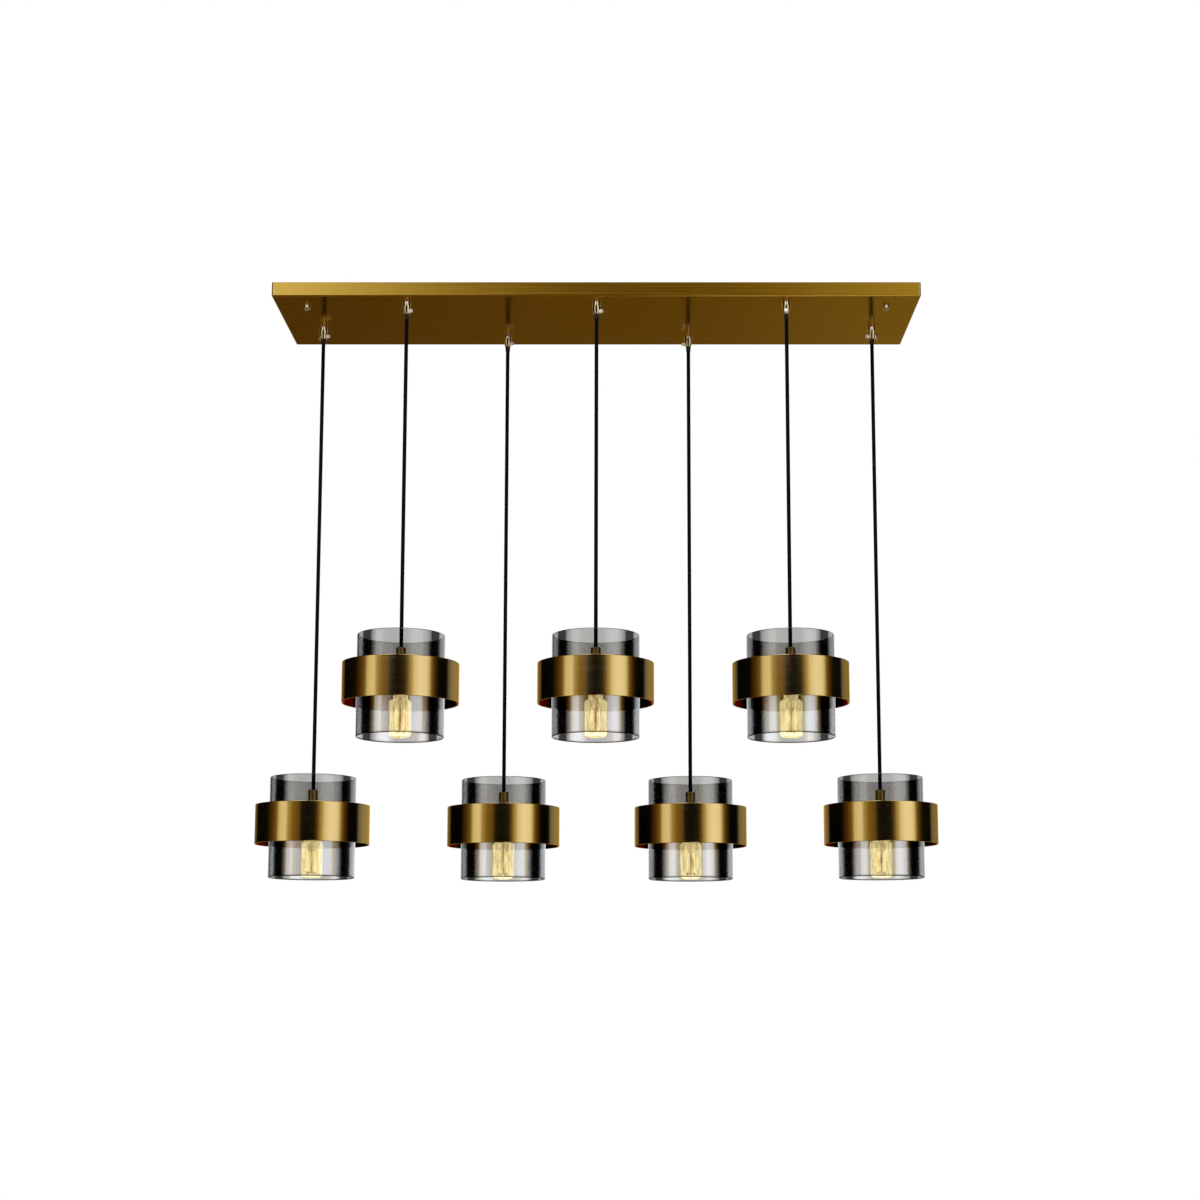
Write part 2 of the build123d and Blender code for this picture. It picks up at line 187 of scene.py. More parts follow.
def outward(place, angle):
    """Matrix that lays the Z axis level, pointing out at an angle in degrees, from a place."""
    turn = Matrix.Rotation(math.radians(angle), 4, "Z") @ Matrix.Rotation(math.radians(90), 4, "Y")
    return Matrix.Translation(place) @ turn


def joined_mesh(name, parts, sharp_angle=40, weld=0.002 * MM):
    """One mesh from several parts, welded at seams and poles, facing outwards and shaded smooth."""
    starts = np.cumsum([0] + [len(points) for points, faces, corners in parts[:-1]])
    points = np.concatenate([part[0] for part in parts])
    faces = np.concatenate([part[1] + start for part, start in zip(parts, starts)])
    corners = np.concatenate([part[2] for part in parts])
    mesh = bpy.data.meshes.new(name)
    mesh.from_pydata(points.tolist(), [], faces.tolist())
    mesh.uv_layers.new(name="wrap").uv.foreach_set("vector", corners.astype(np.float32).ravel())
    work = bmesh.new()
    work.from_mesh(mesh)
    bmesh.ops.remove_doubles(work, verts=work.verts, dist=weld)
    bmesh.ops.recalc_face_normals(work, faces=work.faces)
    work.to_mesh(mesh)
    work.free()
    mesh.polygons.foreach_set("use_smooth", np.ones(len(mesh.polygons), bool))
    mesh.set_sharp_from_angle(angle=math.radians(sharp_angle))
    return mesh


def smooth_line(name, route):
    """Points of the smooth curve whose control points are the route's."""
    curve = bpy.data.curves.new(name, "CURVE")
    curve.dimensions = "3D"
    spline = curve.splines.new("NURBS")
    spline.points.add(len(route) - 1)
    spline.points.foreach_set("co", np.column_stack([route, np.ones(len(route))]).ravel())
    spline.order_u = 3
    spline.use_endpoint_u = True
    spline.resolution_u = 12
    holder = bpy.data.objects.new(name, curve)
    mesh = bpy.data.meshes.new_from_object(holder)
    line = np.zeros(len(mesh.vertices) * 3)
    mesh.vertices.foreach_get("co", line)
    bpy.data.objects.remove(holder)
    bpy.data.curves.remove(curve)
    bpy.data.meshes.remove(mesh)
    return line.reshape(-1, 3)


def add_piece(name, mesh, material, body, nodes):
    """A piece of the light that moves with a body and stands for its solids."""
    piece = bpy.data.objects.new(name, mesh)
    bpy.context.collection.objects.link(piece)
    mesh.materials.append(material)
    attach(piece, body)
    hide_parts(*nodes)
    return piece


def add_to_pendants(name, mesh, material, body, node):
    """One copy of a mesh, modelled about its pendant's axis, on each pendant.

    Shiny pieces don't mirror the copies.
    """
    for pendant in PENDANTS:
        copy = mesh.copy()
        copy.transform(Matrix.Translation(hang_place(pendant)))
        nodes = [f"{node}_{pendant}"]
        piece = add_piece(f"{name}_{pendant}", copy, material, f"{body}_{pendant}", nodes)
        piece.visible_glossy = False
    bpy.data.meshes.remove(mesh)


# Finishes


class Nodes:
    """A node tree, with short ways to add the nodes that the finishes and the studio use."""

    def __init__(self, tree):
        self.tree = tree

    def node(self, kind, **settings):
        """A new node with these settings."""
        made = self.tree.nodes.new(kind)
        for setting, value in settings.items():
            setattr(made, setting, value)
        return made

    def link(self, source, target):
        """Join one socket to another."""
        self.tree.links.new(source, target)

    def ramp(self, source, *stops, interpolation="LINEAR"):
        """Turn a factor into colours: each stop is a position and the colour or grey there."""
        made = self.node("ShaderNodeValToRGB")
        made.color_ramp.interpolation = interpolation
        elements = made.color_ramp.elements
        while len(elements) < len(stops):
            elements.new(0.5)
        for element, (position, colour) in zip(elements, stops):
            element.position = position
            element.color = (*colour, 1) if isinstance(colour, tuple) else (colour, colour, colour, 1)
        self.link(source, made.inputs["Fac"])
        return made.outputs["Color"]

    def maths(self, operation, *terms):
        """The result of an operation on its terms, each of them a socket or a number."""
        made = self.node("ShaderNodeMath", operation=operation)
        for socket, term in zip(made.inputs, terms):
            if isinstance(term, (int, float)):
                socket.default_value = term
            else:
                self.link(term, socket)
        return made.outputs["Value"]

    def mixed(self, share, first, second, blend="MIX"):
        """Two colours blended by a share."""
        made = self.node("ShaderNodeMix", data_type="RGBA", blend_type=blend)
        self.link(share, made.inputs["Factor"])
        colours = [socket for socket in made.inputs if socket.type == "RGBA"]
        self.link(first, colours[0])
        self.link(second, colours[1])
        return next(socket for socket in made.outputs if socket.type == "RGBA")


class Finish(Nodes):
    """A material's nodes. The shader's plain values are given by name, with _ for a space."""

    def __init__(self, name, **values):
        self.material = bpy.data.materials.new(name)
        self.material.use_nodes = True
        super().__init__(self.material.node_tree)
        self.shader = self.tree.nodes["Principled BSDF"]
        for socket, value in values.items():
            self.shader.inputs[socket.replace("_", " ")].default_value = value

    def feed(self, source, socket):
        """Join a socket to one of the shader's own."""
        self.link(source, self.shader.inputs[socket])

    def place(self, scale, turn=(0, 0, 0), output="Object"):
        """Coordinates on the piece, turned by degrees and scaled."""
        mapping = self.node("ShaderNodeMapping")
        mapping.inputs["Scale"].default_value = scale
        mapping.inputs["Rotation"].default_value = [math.radians(angle) for angle in turn]
        self.link(self.node("ShaderNodeTexCoord").outputs[output], mapping.inputs["Vector"])
        return mapping.outputs["Vector"]

    def noise(self, scale, detail=3.0):
        """Noise with this many grains to a metre along X, Y and Z."""
        made = self.node("ShaderNodeTexNoise")
        made.inputs["Scale"].default_value = 1.0
        made.inputs["Detail"].default_value = detail
        self.link(self.place(scale), made.inputs["Vector"])
        return made.outputs["Fac"]

    def along(self):
        """The distance along a piece's profile, in metres, from its map."""
        parts = self.node("ShaderNodeSeparateXYZ")
        self.link(self.node("ShaderNodeTexCoord").outputs["UV"], parts.inputs["Vector"])
        return parts.outputs["Y"]

    def spread(self, source, low, high):
        """From one colour or grey to another over the middle of a noise's range."""
        return self.ramp(source, (NOISE_LOW, low), (NOISE_HIGH, high))

    def colour(self, source, low, high):
        """Base colour from a noise."""
        self.feed(self.spread(source, low, high), "Base Color")

    def roughness(self, source, low, high):
        """Roughness from a noise."""
        self.feed(self.spread(source, low, high), "Roughness")

    def bump(self, source, depth, strength=0.3):
        """Fine relief of a depth in metres from a factor."""
        made = self.node("ShaderNodeBump")
        made.inputs["Strength"].default_value = strength
        made.inputs["Distance"].default_value = depth
        self.link(source, made.inputs["Height"])
        self.feed(made.outputs["Normal"], "Normal")


def shade(colour, factor):
    """A colour made lighter or darker."""
    return tuple(min(1.0, part * factor) for part in colour)


def once(maker):
    """Make a finish the first time it is asked for, and give the same one after that."""
    made = []

    def found(look):
        if not made:
            made.append(maker(look))
        return made[0]

    return found


@once
def brushed_sheet_brass(look):
    """Lacquered brass sheet, brushed along its length."""
    made = Finish("brushed_sheet_brass", Metallic=1.0)
    grain = made.noise((7, 1100, 1100))
    brass = tuple(look.sheet_brass)
    made.colour(grain, shade(brass, 0.88), shade(brass, 1.08))
    made.roughness(grain, 0.12, 0.22)
    made.bump(grain, 0.004 * MM, 0.15)
    return made.material


@once
def brushed_band_brass(look):
    """Lacquered brass band, brushed round its rim, and very dark red on its inner face."""
    made = Finish("brushed_band_brass", Metallic=1.0, Specular_Tint=(0.6, 0.4, 0.15, 1.0))
    grain = made.noise((14, 14, 2600))
    brass, band_interior = tuple(look.brass), tuple(look.band_interior)
    outer_face = made.spread(grain, shade(brass, 0.92), shade(brass, 1.06))
    inner_face = made.spread(grain, shade(band_interior, 0.8), shade(band_interior, 1.2))
    within = made.maths("GREATER_THAN", made.along(), look.band_turn)
    made.feed(made.mixed(within, outer_face, inner_face), "Base Color")
    made.roughness(grain, 0.09, 0.16)
    made.bump(grain, 0.002 * MM, 0.15)
    return made.material


@once
def turned_brass(look):
    """Polished brass with faint handling smears."""
    made = Finish("turned_brass", Metallic=1.0)
    smear = made.noise((160, 160, 90), 4.0)
    brass = tuple(look.polished)
    made.colour(smear, shade(brass, 0.9), brass)
    made.roughness(smear, 0.06, 0.16)
    return made.material


@once
def deep_brass(look):
    """Brass in a darker tone."""
    made = Finish("deep_brass", Metallic=1.0)
    cloud = made.noise((220, 220, 220), 4.0)
    brass = tuple(look.deep_tone)
    made.colour(cloud, shade(brass, 0.7), shade(brass, 1.1))
    made.roughness(cloud, 0.28, 0.42)
    return made.material


@once
def bright_nickel(look):
    """Satin nickel plate."""
    made = Finish("bright_nickel", Metallic=0.3)
    smear = made.noise((900, 900, 900))
    plate = tuple(look.nickel)
    made.colour(smear, shade(plate, 0.9), plate)
    made.roughness(smear, 0.14, 0.28)
    return made.material


@once
def zinc_plate(look):
    """Zinc plated steel with its mottled bloom."""
    made = Finish("zinc_plate", Metallic=1.0)
    bloom = made.noise((240, 240, 240), 5.0)
    plate = tuple(look.zinc)
    made.colour(bloom, shade(plate, 0.8), shade(plate, 1.1))
    made.roughness(bloom, 0.28, 0.46)
    return made.material


@once
def smoked_tube(look):
    """Half mirrored smoke glass: greyer at the top, brighter at the bottom, with a painted dark reflection by
    each side.

    That reflection is painted by how aslant the wall is, and dims light only where it enters. The tint and
    the mirror go by the distance round the wall's section as a share of the whole way: first the lower rim,
    then up the outside, the upper rim at the middle, and down the inside.
    """
    made = Finish("smoked_tube", Roughness=0.0, IOR=look.glass_index, Transmission_Weight=1.0)
    aslant = made.node("ShaderNodeLayerWeight")
    aslant.inputs["Blend"].default_value = 0.5
    clear, dark = 1.0, 0.01
    # Painted reflection: the glass's colour goes near black where the wall is seen aslant, as if it mirrored
    # dark flags.
    painted_dark_reflection = made.ramp(
        aslant.outputs["Facing"],
        (0.0, clear), (0.19, 0.95), (0.25, 0.4), (0.29, dark), (0.49, dark), (0.54, 0.7), (0.57, clear),
    )
    backfacing = made.node("ShaderNodeNewGeometry").outputs["Backfacing"]
    entering = made.maths("LESS_THAN", backfacing, 0.5)
    section = made.maths("MULTIPLY", made.along(), 1 / look.glass_loop)
    top, foot, rim = tuple(look.smoke), tuple(look.smoke_foot), shade(look.smoke, 0.3)
    tint = made.ramp(
        section, (0.0, rim), (0.013, rim), (0.02, foot), (0.17, foot), (0.33, top), (0.67, top), (0.83, foot)
    )
    made.feed(made.mixed(entering, tint, painted_dark_reflection, "MULTIPLY"), "Base Color")
    mirror, faint, bare = look.glass_mirror, look.glass_mirror * 0.4, 0.05
    made.feed(made.ramp(section, (0.17, mirror), (0.33, faint), (0.5, faint), (0.52, bare)), "Metallic")
    return made.material


@once
def clear_bulb(look):
    """Clear bulb glass, lit from inside."""
    made = Finish("clear_bulb", Roughness=0.0, IOR=1.2, Transmission_Weight=1.0,
                  Emission_Strength=look.glow_level)
    ripple = made.noise((190, 190, 45), 2.0)
    made.colour(ripple, (1.0, 0.93, 0.70), (1.0, 0.97, 0.85))
    glow = tuple(look.glow)
    made.feed(made.ramp(ripple, (0.35, shade(glow, 0.35)), (0.6, glow)), "Emission Color")
    return made.material


@once
def filament(look):
    """Glowing filament with its brighter and dimmer stretches."""
    made = Finish("filament", Roughness=0.5, Emission_Strength=look.filament_level)
    beads = made.noise((400, 400, 700), 2.0)
    ember = tuple(look.ember)
    made.colour(beads, shade(ember, 0.7), ember)
    made.feed(made.spread(beads, shade(ember, 0.6), ember), "Emission Color")
    return made.material


@once
def bulb_stem(look):
    """Amber glass stem and supports inside the bulb."""
    made = Finish("bulb_stem", Roughness=0.3)
    streak = made.noise((300, 300, 120))
    made.colour(streak, (0.30, 0.12, 0.01), (0.62, 0.36, 0.06))
    return made.material


@once
def braided_cord(look):
    """Black braided cord: two families of strands cross round it, and the higher one shows."""
    made = Finish("braided_cord", Specular_IOR_Level=0.0)
    strands = []
    for slant in (45, -45):
        wave = made.node("ShaderNodeTexWave")
        wave.inputs["Scale"].default_value = 1.6
        made.link(made.place((8, 8, 8), (0, 0, slant), "UV"), wave.inputs["Vector"])
        strands.append(wave.outputs["Fac"])
    weave = made.maths("MAXIMUM", *strands)
    cloth = tuple(look.cord)
    made.feed(made.ramp(weave, (0.2, shade(cloth, 0.5)), (0.95, cloth)), "Base Color")
    made.roughness(weave, 0.9, 0.7)
    made.bump(weave, 0.06 * MM, 0.15)
    return made.material


@once
def moulded_rubber(look):
    """Matt black moulded rubber."""
    made = Finish("moulded_rubber")
    grain = made.noise((1500, 1500, 1500))
    rubber = tuple(look.cord)
    made.colour(grain, shade(rubber, 0.8), shade(rubber, 1.6))
    made.roughness(grain, 0.5, 0.7)
    made.bump(grain, 0.05 * MM)
    return made.material


@once
def holder_black(look):
    """Black moulded insulator with a faint gloss."""
    made = Finish("holder_black")
    grain = made.noise((700, 700, 700))
    made.colour(grain, (0.012, 0.012, 0.013), (0.03, 0.03, 0.031))
    made.roughness(grain, 0.28, 0.42)
    return made.material


@once
def ivory_plastic(look):
    """Ivory moulded plastic with a fine grain."""
    made = Finish("ivory_plastic")
    grain = made.noise((900, 900, 900))
    ivory = tuple(look.block)
    made.colour(grain, shade(ivory, 0.93), ivory)
    made.roughness(grain, 0.35, 0.5)
    made.bump(grain, 0.04 * MM)
    return made.material


# Sizes and colours that a user would change


class PendantSizes(bpy.types.PropertyGroup):
    """Walls, rounds and counts of a pendant's pieces, and how its cord ends in the canopy."""

    glass_wall: FloatProperty(name="Glass wall", description="Thickness of the smoke glass", default=3.0 * MM,
                              unit="LENGTH")
    rim_round: FloatProperty(name="Rim round", description="Radius of the glass rim's fire polished edge",
                             default=1.4 * MM, unit="LENGTH")
    band_wall: FloatProperty(name="Band wall", description="Thickness of the brass band", default=1.2 * MM,
                             unit="LENGTH")
    boss_radius: FloatProperty(name="Boss radius", description="Radius of the bosses inside the band",
                               default=5.0 * MM, unit="LENGTH")
    boss_rise: FloatProperty(name="Boss rise", description="Height of the bosses above the lower glass rim",
                             default=106.0 * MM, unit="LENGTH")
    arms: IntProperty(name="Arms", description="Arms of the spider, each with a boss", default=3)
    bulb_wall: FloatProperty(name="Bulb wall", description="Thickness of the bulb glass", default=0.9 * MM,
                             unit="LENGTH")
    bulb_neck: FloatProperty(name="Bulb neck", description="Radius of the bulb where its cap begins",
                             default=12.2 * MM, unit="LENGTH")
    filaments: IntProperty(name="Filaments", description="Filament rods in a bulb", default=4)
    tail_bend: FloatProperty(name="Tail bend", description="Radius of the bend of a cord's end in the canopy",
                             default=10.0 * MM, unit="LENGTH")
    tail_depth: FloatProperty(name="Tail depth", description="Length of a cord's end in the terminal block",
                              default=8.0 * MM, unit="LENGTH")
    tail_spacing: FloatProperty(name="Tail spacing", description="Distance between cords' ends at the block",
                                default=14.0 * MM, unit="LENGTH")


class Colours(bpy.types.PropertyGroup):
    """Colours and levels of the finishes."""

    sheet_brass: FloatVectorProperty(name="Canopy brass", description="Colour of the canopy's sheet",
                                     default=(0.62, 0.39, 0.055), subtype="COLOR")
    brass: FloatVectorProperty(name="Band brass", description="Colour of the bands",
                               default=(0.78, 0.58, 0.25), subtype="COLOR")
    band_interior: FloatVectorProperty(name="Interior brass", description="Colour of the bands inside",
                                default=(0.20, 0.012, 0.001), subtype="COLOR")
    band_turn: FloatProperty(name="Band turn", description="Distance round a band's section to its inside",
                             default=69.5 * MM, unit="LENGTH")
    polished: FloatVectorProperty(name="Polished brass", description="Colour of grips, nuts and lampholders",
                                  default=(0.82, 0.66, 0.44), subtype="COLOR")
    deep_tone: FloatVectorProperty(name="Deep brass", description="Colour of the strain reliefs",
                              default=(0.46, 0.31, 0.10), subtype="COLOR")
    nickel: FloatVectorProperty(name="Nickel", description="Colour of the set screws",
                                default=(0.95, 0.91, 0.84), subtype="COLOR")
    zinc: FloatVectorProperty(name="Zinc", description="Colour of the plated steel pieces",
                              default=(0.62, 0.63, 0.64), subtype="COLOR")
    smoke: FloatVectorProperty(name="Smoke", description="Tint of the glass at its top",
                               default=(0.54, 0.54, 0.54), subtype="COLOR")
    smoke_foot: FloatVectorProperty(name="Smoke foot", description="Tint of the glass near its lower rim",
                                    default=(0.88, 0.88, 0.90), subtype="COLOR")
    glass_loop: FloatProperty(name="Glass loop", description="Distance once round the glass wall's section",
                              default=348 * MM, unit="LENGTH")
    glass_index: FloatProperty(name="Glass index", description="Refractive index of the smoke glass",
                               default=1.2)
    glass_mirror: FloatProperty(name="Glass mirror", description="Share of mirror plating near the lower rim",
                                default=0.45)
    glow: FloatVectorProperty(name="Glow", description="Colour of the bulb's light",
                              default=(1.0, 0.87, 0.46), subtype="COLOR")
    glow_level: FloatProperty(name="Glow level", description="Brightness of the lit bulb glass", default=0.4)
    ember: FloatVectorProperty(name="Ember", description="Colour of the filaments", default=(1.0, 0.72, 0.25),
                               subtype="COLOR")
    filament_level: FloatProperty(name="Filament level", description="Brightness of the filaments",
                                  default=1.4)
    cord: FloatVectorProperty(name="Cord", description="Colour of cords and boots",
                              default=(0.005, 0.005, 0.005), subtype="COLOR")
    block: FloatVectorProperty(name="Terminal block", description="Colour of the terminal block",
                               default=(0.72, 0.70, 0.62), subtype="COLOR")


class Studio(bpy.types.PropertyGroup):
    """The camera, the floor and the light."""

    eye: FloatVectorProperty(name="Eye", description="Where the camera stands",
                             default=(0.0528, -3.2433, -1.1744), subtype="TRANSLATION", unit="LENGTH")
    tilt: FloatProperty(name="Tilt", description="How far the camera looks up", default=math.radians(8.0),
                        subtype="ANGLE")
    lens: FloatProperty(name="Lens", description="Focal length in millimetres", default=57.57)
    slide: FloatProperty(name="Slide", description="Sideways shift of the picture, as a share of its width",
                         default=-0.0229)
    rise: FloatProperty(name="Rise", description="Upward shift of the picture, as a share of its width",
                        default=0.0937)
    floor_drop: FloatProperty(name="Floor drop", description="Height of the ceiling above the floor",
                              default=2.4, unit="LENGTH")
    floor_radius: FloatProperty(name="Floor radius", description="Radius of the round floor", default=6.0,
                                unit="LENGTH")
    softbox: FloatProperty(name="Softboxes", description="Brightness of the softboxes in what shines",
                           default=1.0)
    fill: FloatProperty(name="Fill", description="Brightness of the even light on matt surfaces",
                        default=0.65)
    key: FloatProperty(name="Key", description="Power of the soft lamp in watts", default=120.0)


def sizes_of(context):
    """The pendants' sizes in use."""
    return context.scene.pendant_sizes


def colours_of(context):
    """The finishes' colours in use."""
    return context.scene.light_colours


# Pieces


class HangCords(bpy.types.Operator):
    """Hang each cord taut from its boot to its lampholder"""

    bl_idname = "ceiling_light.hang_cords"
    bl_label = "Cords and boots"

    def execute(self, context):
        colours = colours_of(context)
        for pendant in PENDANTS:
            boot = self.add_boot(pendant, moulded_rubber(colours))
            self.add_cord(pendant, boot, braided_cord(colours))
        self.add_tails(sizes_of(context), braided_cord(colours))
        return {"FINISHED"}

    def add_boot(self, pendant, material):
        """A boot turned about its cord. Share runs from 0 at its top to 1 at its lower end.

        Its radius is the full one, times the taper, 1 less a part of the share; times the ribs, 1 less a
        part of a sine where that is above 0; times the shoulder, a circle's arc over the first stretch.
        """
        taper, rib_depth, rib_count, shoulder_share, shoulder_least = 0.14, 0.05, 4, 0.15, 0.5
        node = f"cord_boot_{pendant}"
        low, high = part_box(node)
        radius = (high.x - low.x) / 2
        length = high.z - low.z
        share = np.linspace(0, 1, 41)
        body = radius * (1 - taper * share)
        ribs = 1 - rib_depth * np.clip(np.sin(share * 2 * np.pi * rib_count), 0, 1)
        inward = 1 - np.minimum(share / shoulder_share, 1)
        shoulder = np.sqrt(np.clip(1 - inward ** 2, shoulder_least, 1))
        side = np.stack([body * ribs * shoulder, high.z - share * length], axis=1)
        part = turned(np.concatenate([[(0, high.z)], side, [(0, low.z)]]), 40)
        axis = Vector(((low.x + high.x) / 2, (low.y + high.y) / 2, 0))
        mesh = joined_mesh("cord_boot", [placed(part, Matrix.Translation(axis))])
        body_name = f"boot_{pendant}"
        return add_piece(f"moulded_boot_{pendant}", mesh, material, body_name, [node])

    def add_cord(self, pendant, boot, material):
        """A straight cord: a circle carried down the smooth line between its two ends."""
        node = f"cord_{pendant}"
        low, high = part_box(node)
        radius = (high.x - low.x) / 2
        x, y = (low.x + high.x) / 2, (low.y + high.y) / 2
        straight = 12 * radius
        heights = (high.z, high.z - straight, low.z + straight, low.z)
        line = smooth_line(node, [(x, y, z) for z in heights])
        mesh = joined_mesh(node, [tube(line, radius, (1, 0, 0))])
        body = f"hanging_cord_{pendant}"
        cord = add_piece(f"pendant_cord_{pendant}", mesh, material, body, [node])
        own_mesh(cord)

    def add_tails(self, sizes, material):
        """The cords' ends in the canopy: up from a grip, a quarter circle, then level to the terminal block.

        With ahead pointing level to the block, the bend is centre + radius * (sine * up - cosine * ahead).
        """
        low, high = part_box("cord_tails")
        cord_low, cord_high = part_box(f"cord_{PENDANTS[0]}")
        radius = (cord_high.x - cord_low.x) / 2
        level = high.z - radius
        up = np.array((0.0, 0.0, 1.0))
        turn = np.linspace(0, np.pi / 2, 13)[:, None]
        parts = []
        for pendant in PENDANTS:
            place = hang_place(pendant)
            foot = np.array((place.x, place.y, low.z))
            corner = np.array((place.x, place.y, level))
            end = np.array((*self.tail_end(pendant, sizes), level))
            ahead = (end - corner) / np.linalg.norm(end - corner)
            centre = corner + sizes.tail_bend * (ahead - up)
            bend = centre + sizes.tail_bend * (np.sin(turn) * up - np.cos(turn) * ahead)
            line = np.concatenate([[foot], bend, [end]])
            parts.append(tube(line, radius, np.cross(up, ahead)))
        mesh = joined_mesh("cord_tails", parts)
        add_piece("canopy_cord_tails", mesh, material, "canopy", ["cord_tails"])

    def tail_end(self, pendant, sizes):
        """Where a tail ends in the terminal block: the middle one in front, the others at its two ends.

        From the outermost pendant inward, a tail's place at an end is its middle, its front, then its back.
        """
        low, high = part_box("terminal_block")
        order = min(pendant - PENDANTS[0], PENDANTS[-1] - pendant)
        if 2 * order == len(PENDANTS) - 1:
            return 0.0, low.y + sizes.tail_depth
        row = (0, -1, 1)[order] * sizes.tail_spacing
        x = high.x - sizes.tail_depth if hang_place(pendant).x > 0 else low.x + sizes.tail_depth
        return x, row


class RollBands(bpy.types.Operator):
    """Roll the brass bands and braze three bosses inside each"""

    bl_idname = "ceiling_light.roll_bands"
    bl_label = "Brass bands"

    def execute(self, context):
        sizes = sizes_of(context)
        outer = width_of("brass_band_1") / 2
        inner = outer - sizes.band_wall
        middle = (outer + inner) / 2
        bottom = rise_of("brass_band")
        top = bottom + height_of("brass_band_1")
        edge = sizes.band_wall / 2
        profile = np.concatenate([
            arc((middle, bottom + edge), edge, 180, 360),
            arc((middle, top - edge), edge, 0, 180),
        ])
        band = turned(profile, 192, close_rows=True)
        mesh = joined_mesh("brass_band", [band, *self.bosses(sizes, inner)])
        material = brushed_band_brass(colours_of(context))
        add_to_pendants("rolled_band", mesh, material, "shade", "brass_band")
        return {"FINISHED"}

    def bosses(self, sizes, inner):
        """Round bosses from the band to just short of the glass, chamfered there, one for each arm."""
        clearance, chamfer = 0.4 * MM, 0.5 * MM
        glass = width_of("smoke_glass_1") / 2
        radius, reach = sizes.boss_radius, inner - glass
        profile = [
            (0, clearance), (radius - chamfer, clearance), (radius, clearance + chamfer),
            (radius, reach), (0, reach),
        ]
        parts = []
        for arm in range(sizes.arms):
            angle = 90 + 360 / sizes.arms * arm
            out = Vector((math.cos(math.radians(angle)), math.sin(math.radians(angle)), 0))
            foot = out * glass + Vector((0, 0, sizes.boss_rise))
            parts.append(placed(turned(profile, 32), outward(foot, angle)))
        return parts


class BlowGlass(bpy.types.Operator):
    """Draw the smoke glass tubes, with fire polished rims"""

    bl_idname = "ceiling_light.blow_glass"
    bl_label = "Smoke glass"

    def execute(self, context):
        sizes = sizes_of(context)
        outer = width_of("smoke_glass_1") / 2
        inner = outer - sizes.glass_wall
        top = height_of("smoke_glass_1")
        edge = sizes.rim_round
        profile = np.concatenate([
            arc((inner + edge, edge), edge, 180, 270, 6),
            arc((outer - edge, edge), edge, 270, 360, 6),
            arc((outer - edge, top - edge), edge, 0, 90, 6),
            arc((inner + edge, top - edge), edge, 90, 180, 6),
        ])
        mesh = joined_mesh("smoke_glass", [turned(profile, 192, close_rows=True)], sharp_angle=60)
        material = smoked_tube(colours_of(context))
        add_to_pendants("smoke_tube", mesh, material, "shade", "smoke_glass")
        return {"FINISHED"}


class FitLampholders(bpy.types.Operator):
    """Fit each lampholder: a brass cup, a black insulator and a brass strain relief"""

    bl_idname = "ceiling_light.fit_lampholders"
    bl_label = "Lampholders"

    def execute(self, context):
        colours = colours_of(context)
        hub_plate, wall = 2.0 * MM, 0.8 * MM
        bottom = rise_of("lampholder")
        top = bottom + height_of("lampholder_1")
        radius = width_of("lampholder_1") / 2
        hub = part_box("spider_1")[1].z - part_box("smoke_glass_1")[0].z
        under = hub - hub_plate
        cup = turned(self.cup(radius, wall, bottom, under), 72, close_rows=True)
        body = turned(self.body(radius, wall, bottom, under), 48, close_rows=True)
        relief = turned(self.relief(hub, top), 48)
        pieces = (
            ("holder_cup", cup, turned_brass),
            ("holder_body", body, holder_black),
            ("strain_relief", relief, deep_brass),
        )
        for name, part, finish in pieces:
            mesh = joined_mesh(name, [part])
            add_to_pendants(name, mesh, finish(colours), "shade", "lampholder")
        return {"FINISHED"}

    def cup(self, radius, wall, bottom, under):
        """Profile of the cup's shell: a round lip, a straight side, a round shoulder and an open top."""
        lip, shoulder, opening = 1.0 * MM, 2.5 * MM, 6.0 * MM
        side = radius - 0.4 * wall
        return np.concatenate([
            [(radius - 2 * wall, bottom)],
            arc((radius - lip, bottom + lip), lip, -90, 0, 6),
            [(side, bottom + 3 * lip)],
            arc((side - shoulder, under - shoulder), shoulder, 0, 90, 8),
            [(opening, under), (opening, under - wall), (radius - 3 * wall, under - wall)],
            [(radius - 2 * wall, under - 3 * wall)],
        ])

    def body(self, radius, wall, bottom, under):
        """Profile of the insulator: a ring with a chamfered foot, closed by a disc above the bulb's cap."""
        bore, inset, chamfer, disc_drop, disc = 13.6 * MM, 1.0 * MM, 1.0 * MM, 8.0 * MM, 1.0 * MM
        rim = radius - 2.4 * wall
        foot = bottom + inset
        ceiling = under - disc_drop
        return [
            (bore, foot), (rim - chamfer, foot), (rim, foot + chamfer),
            (rim, ceiling), (0, ceiling), (0, ceiling - disc), (bore, ceiling - disc),
        ]

    def relief(self, hub, top):
        """Profile of the strain relief: a stem with a groove and a round top, hollowed for the cord."""
        radius, neck, flange, groove = 8.5 * MM, 3.7 * MM, 3.5 * MM, 0.7 * MM
        shoulder, hollow = 1.5 * MM, 2.0 * MM
        collar = hub + flange
        return np.concatenate([
            [(0, hub), (radius, hub), (radius, collar)],
            [(radius - groove, collar + groove), (radius, collar + 2 * groove)],
            arc((radius - shoulder, top - shoulder), shoulder, 0, 90, 6),
            [(neck, top), (neck, top - hollow), (0, top - hollow)],
        ])


